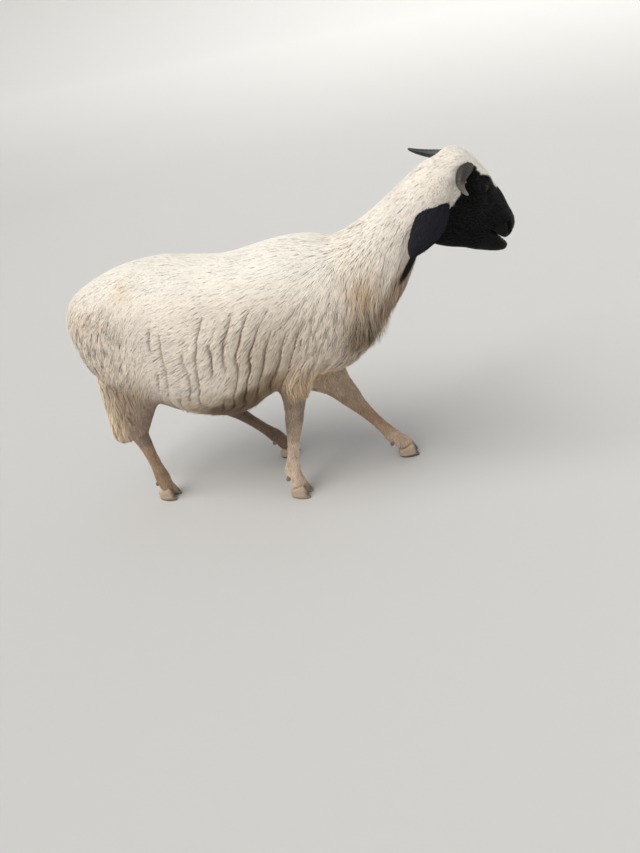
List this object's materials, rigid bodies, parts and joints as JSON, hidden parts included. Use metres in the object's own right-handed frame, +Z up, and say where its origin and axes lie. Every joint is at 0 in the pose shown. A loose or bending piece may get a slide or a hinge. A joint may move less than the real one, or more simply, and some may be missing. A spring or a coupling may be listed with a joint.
{
  "type": "shorn sheep",
  "caption": "Still life-size horned hair sheep, mid-stride with head turned left: short cream coat, black face and ears.",
  "frame": {"origin": "on the floor, under the middle of the animal's box", "axes": "+X the way the body walks, +Y the animal's left, +Z up"},
  "size_m": [1.1288, 0.3686, 0.8005],
  "materials": {
    "fleece": "short cream hair coat",
    "black_hair": "short sleek black hair",
    "leg_hair": "short soiled tan hair",
    "horn": "grey horn, faintly ringed",
    "hoof": "dark horn, worn",
    "eye": "wet dark eye"
  },
  "bodies": {
    "root": {"head": "black_hair", "neck": "fleece", "trunk": "fleece", "tail": "fleece", "leg_front_left": "leg_hair", "leg_front_right": "leg_hair", "leg_hind_left": "leg_hair", "leg_hind_right": "leg_hair", "ear_left": "black_hair", "ear_right": "black_hair", "eye_left": "eye", "eye_right": "eye", "horn_left": "horn", "horn_right": "horn", "claw_front_left_left": "hoof", "claw_front_left_right": "hoof", "claw_front_right_left": "hoof", "claw_front_right_right": "hoof", "claw_hind_left_left": "hoof", "claw_hind_left_right": "hoof", "claw_hind_right_left": "hoof", "claw_hind_right_right": "hoof", "dewclaw_front_left_left": "hoof", "dewclaw_front_left_right": "hoof", "dewclaw_front_right_left": "hoof", "dewclaw_front_right_right": "hoof", "dewclaw_hind_left_left": "hoof", "dewclaw_hind_left_right": "hoof", "dewclaw_hind_right_left": "hoof", "dewclaw_hind_right_right": "hoof"}
  },
  "joints": []
}
